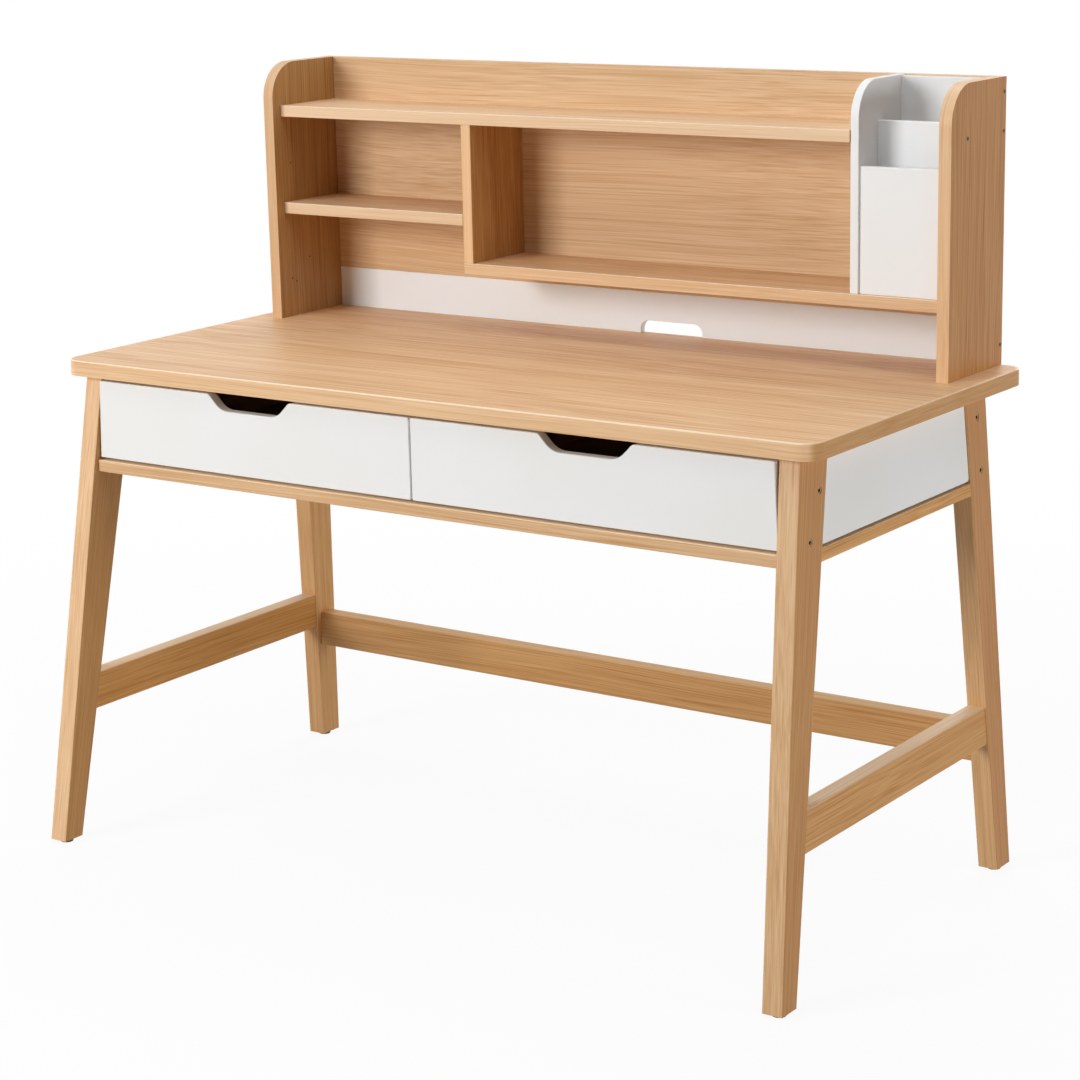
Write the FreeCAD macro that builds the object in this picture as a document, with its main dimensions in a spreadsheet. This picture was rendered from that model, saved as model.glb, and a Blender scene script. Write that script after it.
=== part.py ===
# Student desk with two drawers and a shelf hutch.
# Frame: X to the right, Y to the back, Z up, in millimetres. The origin is on the floor
# in the middle of the footprint. Right-hand pieces are modelled, left-hand ones mirrored.
import FreeCAD, Part
import math
import os
import re
import Sketcher

doc = FreeCAD.newDocument("student_desk")

# ---------------------------------------------------------------- driving dimensions
SIZES = {
    # desktop
    "desk_wide": 1300,
    "desk_deep": 620,
    "desk_thick": 24,
    "desk_high": 750,
    "desk_corner": 27,
    "desk_edge": 3,
    # end frames: two raked legs each, splayed outwards
    "frame_inset": 30,
    "frame_splay_out": 34,
    "leg_thick": 31,
    "leg_ease": 2,
    "foot_reach": 88,
    "front_leg_set": 18,
    "front_leg_top": 74,
    "front_leg_foot": 39,
    "rear_leg_set": 68,
    "rear_leg_top": 64,
    "rear_leg_foot": 43,
    "rear_foot_set": 28,
    "glide_high": 6,
    "glide_wide": 22,
    "glide_taper": 1.5,
    # rails and stretchers
    "case_high": 128,
    "rail_high": 18,
    "rail_ease": 1,
    "front_rail_set": 6,
    "front_rail_deep": 52,
    "side_rail_inset": 1,
    "side_rail_thick": 24,
    "stretcher_high": 58,
    "stretcher_thick": 27,
    "stretcher_set": 2.5,
    "stretcher_ease": 1.5,
    "side_stretcher_up": 261,
    "rear_stretcher_up": 228,
    "rear_stretcher_set": 12,
    "apron_thick": 20,
    "apron_inset": 14,
    # side panels and drawer case
    "panel_thick": 15,
    "panel_inset": 2.5,
    "panel_gap": 4,
    "panel_end_gap": 0.8,
    "panel_corner": 6,
    "case_side_thick": 16,
    "partition_thick": 16,
    "case_front_gap": 1,
    # drawers
    "front_thick": 16,
    "front_set": 10,
    "front_top_gap": 6,
    "front_low_gap": 4,
    "front_side_gap": 2.5,
    "front_mid_gap": 3,
    "front_corner": 2,
    "front_ease": 0.8,
    "handle_wide": 152,
    "handle_floor": 106,
    "handle_deep": 23.5,
    "handle_lip_round": 10,
    "handle_floor_round": 32,
    "box_high": 88,
    "box_up": 10,
    "box_side_thick": 12,
    "bottom_thick": 4,
    "groove_up": 8,
    "groove_deep": 6,
    "groove_play": 0.5,
    # three-member ball-bearing slides
    "slide_long": 450,
    "slide_high": 45,
    "slide_wide": 12.7,
    "slide_steel": 1.2,
    "slide_set": 2,
    "case_channel_deep": 10.4,
    "case_channel_lip": 4,
    "middle_start": 2.6,
    "middle_deep": 9,
    "middle_drop": 4.7,
    "middle_lip": 3.6,
    "middle_short": 6,
    "inner_drop": 9.2,
    "inner_deep": 7.7,
    "inner_lip": 2.3,
    # hutch
    "hutch_inset": 38,
    "hutch_deep": 170,
    "hutch_high": 412,
    "hutch_side_thick": 19,
    "hutch_round": 57,
    "hutch_back_thick": 12,
    "strip_high": 65,
    "notch_wide": 112,
    "notch_high": 20,
    "notch_off": 58,
    "notch_round": 15,
    "shelf_thick": 18,
    "shelf_set": 18,
    "top_shelf_up": 344,
    "left_shelf_up": 188,
    "low_shelf_up": 112,
    "left_bay_wide": 359,
    "divider_thick": 18,
    "pocket_divider_thick": 13,
    "pocket_bay_wide": 135,
    "divider_set": 20,
    "divider_round": 52,
    "pocket_thick": 12,
    "pocket_front_set": 24,
    "pocket_front_high": 181,
    "pocket_middle_set": 77,
    "pocket_middle_high": 241,
    "pocket_back_drop": 2,
    # frame bolts and hutch fixings
    "bolt_thick": 6,
    "bolt_head_wide": 10,
    "bolt_head_high": 6,
    "bolt_socket": 5,
    "bolt_socket_deep": 3,
    "bolt_sink": 1,
    "bolt_play": 0.3,
    "bolt_cover": 2,
    "bolt_low_rise": 14,
    "front_bolt_high_rise": 77,
    "rear_bolt_high_rise": 92,
    "front_bolt_low_set": 36,
    "front_bolt_high_set": 65,
    "rear_bolt_low_set": 88,
    "rear_bolt_high_set": 96,
    "hutch_bolt_set": 30,
    "hutch_bolt_bite": 30,
}

# Places worked out from the driving dimensions, each from those above it.
PLACES = {
    "frame_top": "desk_high - desk_thick",
    "frame_top_out": "desk_wide / 2 - frame_inset",
    "desk_front": "(foot_reach - desk_deep) / 2",
    "desk_rear": "desk_front + desk_deep",
    "frame_fall": "frame_top - glide_high",
    "rail_top": "frame_top - case_high",
    "rail_low": "rail_top - rail_high",
    "bolt_low_up": "rail_top + bolt_low_rise",
    "front_bolt_high_up": "rail_top + front_bolt_high_rise",
    "rear_bolt_high_up": "rail_top + rear_bolt_high_rise",
    "case_in": "frame_top_out - leg_thick - case_side_thick",
    "bolt_end": "case_in + bolt_cover",
    "partition_out": "partition_thick / 2",
    "front_face": "desk_front + front_set",
    "box_front": "front_face + front_thick",
    "box_rear": "box_front + slide_long",
    "front_low": "rail_top + front_low_gap",
    "front_high": "frame_top - front_top_gap",
    "front_in": "front_mid_gap / 2",
    "box_out_x": "case_in - slide_wide",
    "box_in_x": "partition_out + slide_wide",
    "box_low": "front_low + box_up",
    "box_top": "box_low + box_high",
    "slide_mid_up": "box_low + box_high / 2",
    "slide_front": "box_front + slide_set",
    "drawer_mid_x": "(case_in + partition_out) / 2",
    "apron_rear": "desk_rear - rear_leg_set - apron_inset",
    "apron_front": "apron_rear - apron_thick",
    "case_front": "box_front + case_front_gap",
    "hutch_out": "desk_wide / 2 - hutch_inset",
    "hutch_in": "hutch_out - hutch_side_thick",
    "hutch_top": "desk_high + hutch_high",
    "hutch_front": "desk_rear - hutch_deep",
    "back_face": "desk_rear - hutch_back_thick",
    "strip_top": "desk_high + strip_high",
    "shelf_front": "hutch_front + shelf_set",
    "top_shelf_top": "desk_high + top_shelf_up",
    "top_shelf_low": "top_shelf_top - shelf_thick",
    "left_shelf_top": "desk_high + left_shelf_up",
    "low_shelf_top": "desk_high + low_shelf_up",
    "bay_divider_left": "left_bay_wide - hutch_in",
    "pocket_left": "hutch_in - pocket_bay_wide",
    "pocket_divider_left": "pocket_left - pocket_divider_thick",
}


def bound(text):
    """The text of an expression, with each size and place read from its sheet."""
    def full_name(match):
        word = match.group()
        if word in SIZES:
            return "Dims." + word
        return "Places." + word if word in PLACES else word
    return re.sub(r"[a-z][a-z_]+", full_name, str(text))


def fill_sheet(name, cells):
    """A spreadsheet with one named value in each row."""
    sheet = doc.addObject("Spreadsheet::Sheet", name)
    for row, (alias, content) in enumerate(cells.items(), 1):
        sheet.set(f"A{row}", alias)
        sheet.set(f"B{row}", content)
        sheet.setAlias(f"B{row}", alias)
    return sheet


fill_sheet("Dims", {alias: str(value) for alias, value in SIZES.items()})
fill_sheet("Places", {alias: "=" + bound(text).replace("Places.", "") for alias, text in PLACES.items()})
doc.recompute()


# ---------------------------------------------------------------- ways of making a piece
def new_body(label):
    body = doc.addObject("PartDesign::Body", label)
    body.Label = label
    return body


def origin_plane(body, role):
    return next(plane for plane in body.Origin.OriginFeatures if plane.Role == role)


def set_sizes(item, **sizes):
    """Bind properties to expressions; a double underscore stands for a dot."""
    for name, text in sizes.items():
        item.setExpression(name.replace("__", "."), bound(text))


def box_feature(body, kind, name, x, y, z):
    """A box between two limits on each axis, added to a body or taken from it."""
    box = body.newObject(f"PartDesign::{kind}Box", name)
    set_sizes(
        box,
        Length=f"{x[1]} - ({x[0]})",
        Width=f"{y[1]} - ({y[0]})",
        Height=f"{z[1]} - ({z[0]})",
        Placement__Base__x=x[0],
        Placement__Base__y=y[0],
        Placement__Base__z=z[0],
    )
    return box


def board(label, x, y, z):
    """A plain rectangular board."""
    body = new_body(label)
    box_feature(body, "Additive", f"{label}_blank", x, y, z)
    return body


def raked_board(label, z, left, right, front, rear):
    """A board whose four upright faces may lean: each face is a function of height."""
    body = new_body(label)
    blank = body.newObject("PartDesign::AdditiveWedge", f"{label}_blank")
    blank.AttachmentSupport = [(origin_plane(body, "XZ_Plane"), "")]
    blank.MapMode = "FlatFace"
    low, high = z
    set_sizes(
        blank,
        Ymin=low, Ymax=high,
        Xmin=left(low), Xmax=right(low), X2min=left(high), X2max=right(high),
        Zmin=f"-({rear(low)})", Zmax=f"-({front(low)})",
        Z2min=f"-({rear(high)})", Z2max=f"-({front(high)})",
    )
    return body


def outline_sketch(body, name, role, shift, points):
    """A closed outline of straight lines, each corner held at its own two expressions."""
    sketch = body.newObject("Sketcher::SketchObject", name)
    sketch.AttachmentSupport = [(origin_plane(body, role), "")]
    sketch.MapMode = "FlatFace"
    set_sizes(sketch, AttachmentOffset__Base__z=shift)
    count = len(points)
    turn = 2 * math.pi / count
    start = [FreeCAD.Vector(math.cos(turn * n), math.sin(turn * n), 0) for n in range(count)]
    for n in range(count):
        sketch.addGeometry(Part.LineSegment(start[n], start[(n + 1) % count]), False)
    for n in range(count):
        sketch.addConstraint(Sketcher.Constraint("Coincident", n, 2, (n + 1) % count, 1))
    for n, (across, up) in enumerate(points):
        for kind, begin, text in (("DistanceX", start[n].x, across), ("DistanceY", start[n].y, up)):
            index = sketch.addConstraint(Sketcher.Constraint(kind, -1, 1, n, 1, begin))
            sketch.setExpression(f"Constraints[{index}]", bound(text))
    return sketch


def pad_up(body, sketch, length, against=False):
    """Pad an outline along its plane's normal, or against it."""
    pad = body.newObject("PartDesign::Pad", sketch.Name + "_pad")
    pad.Profile = sketch
    pad.Reversed = against
    set_sizes(pad, Length=length)
    return pad


def side_on_board(label, x, points):
    """A board seen from the side: an outline in Y and Z, as thick as its limits in X."""
    body = new_body(label)
    sketch = outline_sketch(body, f"{label}_outline", "YZ_Plane", x[0], points)
    pad_up(body, sketch, f"{x[1]} - ({x[0]})")
    return body, sketch


def face_on_board(label, y, points):
    """A board seen from the front: an outline in X and Z, as thick as its limits in Y."""
    body = new_body(label)
    sketch = outline_sketch(body, f"{label}_outline", "XZ_Plane", f"-({y[0]})", points)
    pad_up(body, sketch, f"{y[1]} - ({y[0]})", against=True)
    return body, sketch


def ease_edges(body, kind, name, pick, **size):
    """Work on the edges of a body's newest feature that pick chooses."""
    doc.recompute()
    base = body.Tip
    chosen = [f"Edge{n}" for n, edge in enumerate(base.Shape.Edges, 1) if pick(edge)]
    eased = body.newObject(f"PartDesign::{kind}", f"{body.Name}_{name}")
    eased.Base = (base, chosen)
    set_sizes(eased, **size)
    return eased


def round_edges(body, name, radius, pick):
    return ease_edges(body, "Fillet", name, pick, Radius=radius)


def chamfer_edges(body, name, width, pick):
    return ease_edges(body, "Chamfer", name, pick, Size=width)


def runs_along(axis):
    """Chooses straight edges that run mostly along an axis."""
    def pick(edge):
        ends = [vertex.Point for vertex in edge.Vertexes]
        if len(ends) < 2 or edge.Curve.TypeId != "Part::GeomLine":
            return False
        way = (ends[1] - ends[0]).normalize()
        return abs(way.dot(axis)) > 0.9
    return pick


def at_corners(sketch, numbers):
    """Chooses the edges that a pad raised from the numbered corners of its outline."""
    doc.recompute()
    corners = [sketch.Placement.multVec(sketch.Geometry[n].StartPoint) for n in numbers]
    normal = sketch.Placement.Rotation.multVec(FreeCAD.Vector(0, 0, 1))

    def pick(edge):
        if not runs_along(normal)(edge):
            return False
        return any(vertex.Point.distanceToPoint(corner) < 0.01
                   for vertex in edge.Vertexes for corner in corners)
    return pick


def in_plane(axis, place):
    """Chooses edges that lie in a plane square to an axis."""
    def pick(edge):
        box = edge.BoundBox
        low = FreeCAD.Vector(box.XMin, box.YMin, box.ZMin).dot(axis)
        high = FreeCAD.Vector(box.XMax, box.YMax, box.ZMax).dot(axis)
        return abs(low - place) < 0.01 and abs(high - place) < 0.01
    return pick


def value(name):
    """A size or a place as a number, in millimetres."""
    sheet = doc.getObject("Dims" if name in SIZES else "Places")
    return float(sheet.get(name))


def bore(body, name, axis, start, length, diameter, spot):
    """A round hole along X, Y or Z, from a start place on that axis; it must remove material."""
    doc.recompute()
    before = body.Tip.Shape.Volume
    hole = body.newObject("PartDesign::SubtractiveCylinder", f"{body.Name}_{name}")
    hole.Placement = FreeCAD.Placement(FreeCAD.Vector(), FreeCAD.Rotation(Z, axis))
    x, y, z = spot
    set_sizes(
        hole,
        Radius=f"({diameter}) / 2",
        Height=length,
        Placement__Base__x=x if axis != X else start,
        Placement__Base__y=y if axis != Y else start,
        Placement__Base__z=z if axis != Z else start,
    )
    doc.recompute()
    if not body.Tip.Shape.Volume < before:
        raise RuntimeError(f"{hole.Name} removes nothing")
    return hole


X = FreeCAD.Vector(1, 0, 0)
Y = FreeCAD.Vector(0, 1, 0)
Z = FreeCAD.Vector(0, 0, 1)
PIECES = []


def keep(item, label=None):
    """Lists an object as one of the desk's pieces."""
    if label:
        item.Label = label
    PIECES.append(item)
    return item


def mirror(source, label, plane_x="0"):
    """The same piece on the other hand, across an upright plane square to X."""
    twin = doc.addObject("Part::Mirroring", label)
    twin.Source = source
    twin.Normal = X
    set_sizes(twin, Base__x=plane_x)
    return keep(twin, label)


def group(items, label):
    """Several like solids kept together as one piece."""
    bundle = doc.addObject("Part::Compound", label)
    bundle.Links = items
    return keep(bundle, label)


# ---------------------------------------------------------------- faces of the end frames
def down(text):
    return f"(frame_top - ({text}))"


def frame_outer(up):
    return f"(frame_top_out + {down(up)} * frame_splay_out / frame_fall)"


def frame_inner(up):
    return f"({frame_outer(up)} - leg_thick)"


def front_leg_face(up):
    return f"(desk_front + front_leg_set - {down(up)} * (foot_reach + front_leg_set) / frame_fall)"


def front_leg_back(up):
    lean = "(foot_reach + front_leg_set + front_leg_top - front_leg_foot)"
    return f"(desk_front + front_leg_set + front_leg_top - {down(up)} * {lean} / frame_fall)"


def rear_leg_face(up):
    lean = "(rear_leg_set + rear_leg_top - rear_foot_set - rear_leg_foot)"
    return f"(desk_rear - rear_leg_set - rear_leg_top + {down(up)} * {lean} / frame_fall)"


def rear_leg_back(up):
    return f"(desk_rear - rear_leg_set + {down(up)} * (rear_leg_set - rear_foot_set) / frame_fall)"


def moved(face, by):
    return lambda up: f"({face(up)} + ({by}))"


def mirrored(face):
    return lambda up: f"(-({face(up)}))"


def level(place):
    return lambda up: f"({place})"


# ---------------------------------------------------------------- desktop and end frames
HUTCH_BOLTS = {
    "right": ("hutch_out - hutch_side_thick / 2", "desk_rear - hutch_bolt_set", None),
    "left": ("hutch_side_thick / 2 - hutch_out", "desk_rear - hutch_bolt_set", None),
}


def make_desktop():
    half = "desk_wide / 2"
    desktop = board("desktop", (f"-{half}", half), ("desk_front", "desk_rear"), ("frame_top", "desk_high"))
    round_edges(desktop, "corners", "desk_corner", runs_along(Z))
    round_edges(desktop, "edge", "desk_edge", in_plane(Z, value("desk_high")))
    for side, spot in HUTCH_BOLTS.items():
        bore(desktop, f"bolt_hole_{side}", Z, "frame_top", "desk_thick", "bolt_thick + 2 * bolt_play", spot)
        bore(desktop, f"bolt_seat_{side}", Z, "frame_top", "bolt_head_high + bolt_sink",
             "bolt_head_wide + 2 * bolt_play", spot)
    return keep(desktop)


LEG_BOLTS = {
    "front": (("desk_front + front_bolt_low_set", "bolt_low_up"),
              ("desk_front + front_bolt_high_set", "front_bolt_high_up")),
    "rear": (("desk_rear - rear_bolt_low_set", "bolt_low_up"),
             ("desk_rear - rear_bolt_high_set", "rear_bolt_high_up")),
}


def make_leg(place, face, back):
    leg = raked_board(f"leg_{place}_right", ("glide_high", "frame_top"), frame_inner, frame_outer, face, back)
    round_edges(leg, "ease", "leg_ease", runs_along(Z))
    for n, (y, z) in enumerate(LEG_BOLTS[place]):
        seat = f"{frame_outer(z)} - bolt_head_high - bolt_sink"
        bore(leg, f"bolt_hole_{n}", X, f"{frame_inner(z)} - leg_thick", "2 * leg_thick",
             "bolt_thick + 2 * bolt_play", (None, y, z))
        bore(leg, f"bolt_seat_{n}", X, seat, "leg_thick", "bolt_head_wide + 2 * bolt_play", (None, y, z))
    keep(leg)
    mirror(leg, f"leg_{place}_left")


def make_glides():
    glides = []
    spots = {
        "front": f"({front_leg_face('glide_high')} + {front_leg_back('glide_high')}) / 2",
        "rear": f"({rear_leg_face('glide_high')} + {rear_leg_back('glide_high')}) / 2",
    }
    for place, y in spots.items():
        for side, sign in (("right", ""), ("left", "-")):
            glide = new_body(f"glide_{place}_{side}")
            cone = glide.newObject("PartDesign::AdditiveCone", f"{glide.Name}_blank")
            set_sizes(
                cone,
                Radius1="glide_wide / 2 - glide_taper",
                Radius2="glide_wide / 2",
                Height="glide_high",
                Placement__Base__x=f"{sign}({frame_outer('glide_high')} - leg_thick / 2)",
                Placement__Base__y=y,
            )
            glides.append(glide)
    group(glides, "foot_glides")


def make_rails():
    rail_z = ("rail_low", "rail_top")
    front_rail = raked_board("front_rail", rail_z, mirrored(frame_inner), frame_inner,
                             level("desk_front + front_rail_set"),
                             level("desk_front + front_rail_set + front_rail_deep"))
    chamfer_edges(front_rail, "ease", "rail_ease", runs_along(X))
    keep(front_rail)
    outer = moved(frame_outer, "-side_rail_inset")
    side_rail = raked_board("side_rail_right", rail_z, moved(outer, "-side_rail_thick"), outer,
                            front_leg_back, rear_leg_face)
    chamfer_edges(side_rail, "ease", "rail_ease", runs_along(Y))
    keep(side_rail)
    mirror(side_rail, "side_rail_left")
    apron = raked_board("rear_apron", ("rail_low", "frame_top"), mirrored(frame_inner), frame_inner,
                        level("apron_front"), level("apron_rear"))
    for n, (y, z) in enumerate(LEG_BOLTS["rear"]):
        for hand, start in (("right", "bolt_end"), ("left", "-bolt_end - leg_thick")):
            bore(apron, f"bolt_{n}_{hand}", X, start, "leg_thick", "bolt_thick", (None, y, z))
    keep(apron)


def make_stretchers():
    outer = moved(frame_outer, "-stretcher_set")
    top = "side_stretcher_up"
    side = raked_board("side_stretcher_right", (f"{top} - stretcher_high", top),
                       moved(outer, "-stretcher_thick"), outer, front_leg_back, rear_leg_face)
    chamfer_edges(side, "ease", "stretcher_ease", runs_along(Y))
    keep(side)
    mirror(side, "side_stretcher_left")
    top = "rear_stretcher_up"
    face = f"{rear_leg_face(top)} + rear_stretcher_set"
    rear = raked_board("rear_stretcher", (f"{top} - stretcher_high", top), mirrored(frame_inner), frame_inner,
                       level(face), level(f"{face} + stretcher_thick"))
    chamfer_edges(rear, "ease", "stretcher_ease", runs_along(X))
    keep(rear)


def make_side_panels():
    outer = moved(frame_outer, "-panel_inset")
    low = "rail_top + panel_gap"
    panel = raked_board("side_panel_right", (low, "frame_top"), moved(outer, "-panel_thick"), outer,
                        moved(front_leg_back, "panel_end_gap"), moved(rear_leg_face, "-panel_end_gap"))
    edge_up = value("rail_top") + value("panel_gap")
    round_edges(panel, "corners", "panel_corner",
                lambda edge: runs_along(X)(edge) and edge.BoundBox.ZMax < edge_up + 0.01)
    keep(panel)
    mirror(panel, "side_panel_left")


def make_case():
    case_y = ("case_front", "apron_front")
    case_z = ("rail_top", "frame_top")
    side = board("case_side_right", ("case_in", "case_in + case_side_thick"), case_y, case_z)
    for n, (y, z) in enumerate(LEG_BOLTS["front"]):
        bore(side, f"bolt_{n}", X, "bolt_end", "case_side_thick", "bolt_thick", (None, y, z))
    keep(side)
    mirror(side, "case_side_left")
    keep(board("centre_partition", ("-partition_out", "partition_out"), case_y, case_z))


# ---------------------------------------------------------------- drawers
def front_edge(up):
    """The outer edge of a drawer front, which follows the leg beside it."""
    return f"({frame_inner(up)} - front_side_gap)"


def make_drawer_front():
    middle = f"(front_in + {front_edge('front_high')}) / 2"
    floor = "front_high - handle_deep"
    points = [
        ("front_in", "front_low"),
        (front_edge("front_low"), "front_low"),
        (front_edge("front_high"), "front_high"),
        (f"{middle} + handle_wide / 2", "front_high"),
        (f"{middle} + handle_floor / 2", floor),
        (f"{middle} - handle_floor / 2", floor),
        (f"{middle} - handle_wide / 2", "front_high"),
        ("front_in", "front_high"),
    ]
    front, sketch = face_on_board("drawer_front_right", ("front_face", "box_front"), points)
    round_edges(front, "handle_floor", "handle_floor_round", at_corners(sketch, (4, 5)))
    round_edges(front, "handle_lips", "handle_lip_round", at_corners(sketch, (3, 6)))
    round_edges(front, "corners", "front_corner", at_corners(sketch, (0, 1, 2, 7)))
    chamfer_edges(front, "ease", "front_ease", in_plane(Y, value("front_face")))
    keep(front)
    mirror(front, "drawer_front_left")


def make_drawer_box():
    side_y = ("box_front", "box_rear")
    side_z = ("box_low", "box_top")
    groove_z = ("box_low + groove_up", "box_low + groove_up + bottom_thick")
    in_left = "box_in_x + box_side_thick"
    in_right = "box_out_x - box_side_thick"
    back_face = "box_rear - box_side_thick"
    outer = board("drawer_side_outer_right", (in_right, "box_out_x"), side_y, side_z)
    box_feature(outer, "Subtractive", "outer_groove", (in_right, f"{in_right} + groove_deep"), side_y, groove_z)
    inner = board("drawer_side_inner_right", ("box_in_x", in_left), side_y, side_z)
    box_feature(inner, "Subtractive", "inner_groove", (f"{in_left} - groove_deep", in_left), side_y, groove_z)
    back = board("drawer_back_right", (in_left, in_right), (back_face, "box_rear"), side_z)
    box_feature(back, "Subtractive", "back_groove", (in_left, in_right),
                (back_face, f"{back_face} + groove_deep"), groove_z)
    reach = "groove_deep - groove_play"
    bottom = board("drawer_bottom_right", (f"{in_left} - ({reach})", f"{in_right} + {reach}"),
                   ("box_front", f"{back_face} + {reach}"), groove_z)
    for piece in (outer, inner, back, bottom):
        keep(piece)
        mirror(piece, piece.Label.replace("right", "left"))


# ---------------------------------------------------------------- drawer slides
def channel(web, mouth, half, lip):
    """Section of a pressed channel that opens towards -X, with its lips turned in."""
    steel = "slide_steel"
    skin = f"{web} - {steel}"
    neck = f"{mouth} + {steel}"
    rise = f"({half})"
    mid = "slide_mid_up"
    return [
        (web, f"{mid} - {rise}"),
        (mouth, f"{mid} - {rise}"),
        (mouth, f"{mid} - {rise} + {lip}"),
        (neck, f"{mid} - {rise} + {lip}"),
        (neck, f"{mid} - {rise} + {steel}"),
        (skin, f"{mid} - {rise} + {steel}"),
        (skin, f"{mid} + {rise} - {steel}"),
        (neck, f"{mid} + {rise} - {steel}"),
        (neck, f"{mid} + {rise} - {lip}"),
        (mouth, f"{mid} + {rise} - {lip}"),
        (mouth, f"{mid} + {rise}"),
        (web, f"{mid} + {rise}"),
    ]


def flanged_channel(web, mouth, half, lip):
    """Section of the drawer's own member, whose lips turn outwards behind the balls."""
    steel = "slide_steel"
    skin = f"{web} + {steel}"
    mid = "slide_mid_up"
    rise = f"({half})"
    wide = f"({half} + {lip})"
    neck = f"{mouth} + {steel}"
    return [
        (web, f"{mid} - {rise}"),
        (web, f"{mid} + {rise}"),
        (neck, f"{mid} + {rise}"),
        (neck, f"{mid} + {wide}"),
        (mouth, f"{mid} + {wide}"),
        (mouth, f"{mid} + {rise} - {steel}"),
        (skin, f"{mid} + {rise} - {steel}"),
        (skin, f"{mid} - {rise} + {steel}"),
        (mouth, f"{mid} - {rise} + {steel}"),
        (mouth, f"{mid} - {wide}"),
        (neck, f"{mid} - {wide}"),
        (neck, f"{mid} - {rise}"),
    ]


def make_slides():
    reach = ("slide_front", "slide_front + slide_long")
    case, _ = face_on_board(
        "slide_case_member_right_outer", reach,
        channel("case_in", "case_in - case_channel_deep", "slide_high / 2", "case_channel_lip"))
    middle, _ = face_on_board(
        "slide_middle_member_right_outer",
        ("slide_front + middle_short / 2", "slide_front + slide_long - middle_short / 2"),
        channel("case_in - middle_start", "case_in - middle_start - middle_deep",
                "slide_high / 2 - middle_drop", "middle_lip"))
    drawer, _ = face_on_board(
        "slide_drawer_member_right_outer", reach,
        flanged_channel("box_out_x", "box_out_x + inner_deep", "slide_high / 2 - inner_drop", "inner_lip"))
    for member in (case, middle, drawer):
        keep(member)
        inner = mirror(member, member.Label.replace("outer", "inner"), "drawer_mid_x")
        for twin in (member, inner):
            mirror(twin, twin.Label.replace("right", "left"))


# ---------------------------------------------------------------- hutch
def make_hutch_sides():
    points = [
        ("hutch_front", "desk_high"),
        ("desk_rear", "desk_high"),
        ("desk_rear", "hutch_top"),
        ("hutch_front", "hutch_top"),
    ]
    side, sketch = side_on_board("hutch_side_right", ("hutch_in", "hutch_out"), points)
    round_edges(side, "crown", "hutch_round", at_corners(sketch, (3,)))
    bore(side, "bolt_hole", Z, "desk_high", "hutch_bolt_bite", "bolt_thick", HUTCH_BOLTS["right"])
    keep(side)
    mirror(side, "hutch_side_left")


def make_hutch_backs():
    back_y = ("back_face", "desk_rear")
    keep(board("hutch_back_panel", ("-hutch_in", "hutch_in"), back_y, ("strip_top", "hutch_top")))
    left, right = "notch_off - notch_wide / 2", "notch_off + notch_wide / 2"
    points = [
        ("-hutch_in", "desk_high"),
        (left, "desk_high"),
        (left, "desk_high + notch_high"),
        (right, "desk_high + notch_high"),
        (right, "desk_high"),
        ("hutch_in", "desk_high"),
        ("hutch_in", "strip_top"),
        ("-hutch_in", "strip_top"),
    ]
    strip, sketch = face_on_board("hutch_lower_strip", back_y, points)
    round_edges(strip, "notch", "notch_round", at_corners(sketch, (2, 3)))
    keep(strip)


def make_shelf(label, x, top):
    shelf = board(label, x, ("shelf_front", "back_face"), (f"{top} - shelf_thick", top))
    keep(shelf)


def make_shelves():
    make_shelf("hutch_top_shelf", ("-hutch_in", "pocket_divider_left"), "top_shelf_top")
    make_shelf("hutch_left_shelf", ("-hutch_in", "bay_divider_left"), "left_shelf_top")
    make_shelf("hutch_low_shelf", ("bay_divider_left", "hutch_in"), "low_shelf_top")
    keep(board("hutch_bay_divider", ("bay_divider_left", "bay_divider_left + divider_thick"),
               ("shelf_front", "back_face"), ("low_shelf_top", "top_shelf_low")))


def make_pockets():
    front = "hutch_front + divider_set"
    points = [
        (front, "low_shelf_top"),
        ("back_face", "low_shelf_top"),
        ("back_face", "hutch_top"),
        (front, "hutch_top"),
    ]
    divider, sketch = side_on_board("pocket_divider", ("pocket_divider_left", "pocket_left"), points)
    round_edges(divider, "crown", "divider_round", at_corners(sketch, (3,)))
    keep(divider)
    walls = {
        "pocket_front": ("hutch_front + pocket_front_set", "low_shelf_top + pocket_front_high"),
        "pocket_middle": ("hutch_front + pocket_middle_set", "low_shelf_top + pocket_middle_high"),
        "pocket_back": ("back_face - pocket_thick", "hutch_top - pocket_back_drop"),
    }
    for label, (face, top) in walls.items():
        keep(board(label, ("pocket_left", "hutch_in"), (face, f"{face} + pocket_thick"), ("low_shelf_top", top)))


# ---------------------------------------------------------------- bolts
def make_bolt(name, axis, seat, spot, length):
    """A socket-head bolt: its head stands out from the seat along X or -Z, its shank the other way."""
    bolt = new_body(name)
    x, y, z = spot
    out, back = ("+", "-") if axis == X else ("-", "+")

    def turned(kind, part, start, **sizes):
        item = bolt.newObject(f"PartDesign::{kind}", f"{name}_{part}")
        item.Placement = FreeCAD.Placement(FreeCAD.Vector(), FreeCAD.Rotation(Z, axis))
        set_sizes(
            item,
            Placement__Base__x=start if axis == X else x,
            Placement__Base__y=y,
            Placement__Base__z=z if axis == X else start,
            **sizes,
        )
        return item

    turned("AdditiveCylinder", "head", seat, Radius="bolt_head_wide / 2", Height="bolt_head_high")
    turned("AdditiveCylinder", "shank", f"{seat} {back} ({length})", Radius="bolt_thick / 2", Height=length)
    socket = turned("SubtractivePrism", "socket", f"{seat} {out} (bolt_head_high - bolt_socket_deep)",
                    Circumradius="bolt_socket / sqrt(3)", Height="bolt_socket_deep")
    socket.Polygon = 6
    return bolt


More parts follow.
